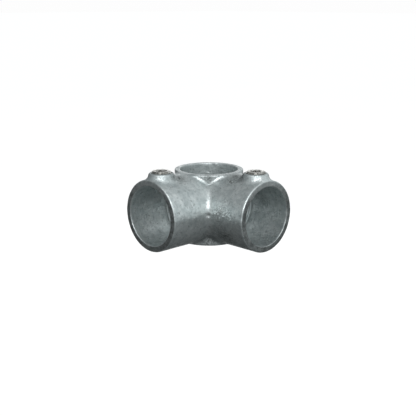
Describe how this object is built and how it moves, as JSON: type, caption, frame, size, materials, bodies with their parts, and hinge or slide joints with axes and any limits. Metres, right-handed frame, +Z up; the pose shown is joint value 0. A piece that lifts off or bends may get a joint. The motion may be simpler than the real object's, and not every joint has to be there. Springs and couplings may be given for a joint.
{
  "type": "tube clamp fitting",
  "caption": "Galvanised cast fitting that joins level round tubes to an upright tube at right angles, with a set screw in a raised boss to clamp each tube.",
  "frame": {"origin": "the point where the axes of the tube bores cross", "axes": "+Z up along the upright tube, +X along the right socket, -Y along the left socket"},
  "size_m": [0.0994, 0.0994, 0.0671],
  "materials": {
    "galvanised_iron": "hot-dip galvanised malleable iron, pale grey zinc with faint mottling",
    "plated_steel": "zinc-plated hardened steel, slightly dulled"
  },
  "bodies": {
    "casting": {"body_casting": "galvanised_iron"},
    "left_screw": {"left_set_screw": "plated_steel"},
    "right_screw": {"right_set_screw": "plated_steel"},
    "collar_screw": {"collar_set_screw": "plated_steel"}
  },
  "joints": [
    {"name": "left_screw_travel", "type": "slide", "parent": "casting", "child": "left_screw", "axis": [0, 0, 1], "range_m": [-0.00267, 0.00936]},
    {"name": "right_screw_travel", "type": "slide", "parent": "casting", "child": "right_screw", "axis": [0, 0, 1], "range_m": [-0.00267, 0.00936]},
    {"name": "collar_screw_travel", "type": "slide", "parent": "casting", "child": "collar_screw", "axis": [-0.7071, 0.7071, 0], "range_m": [-0.00267, 0.00936]}
  ]
}
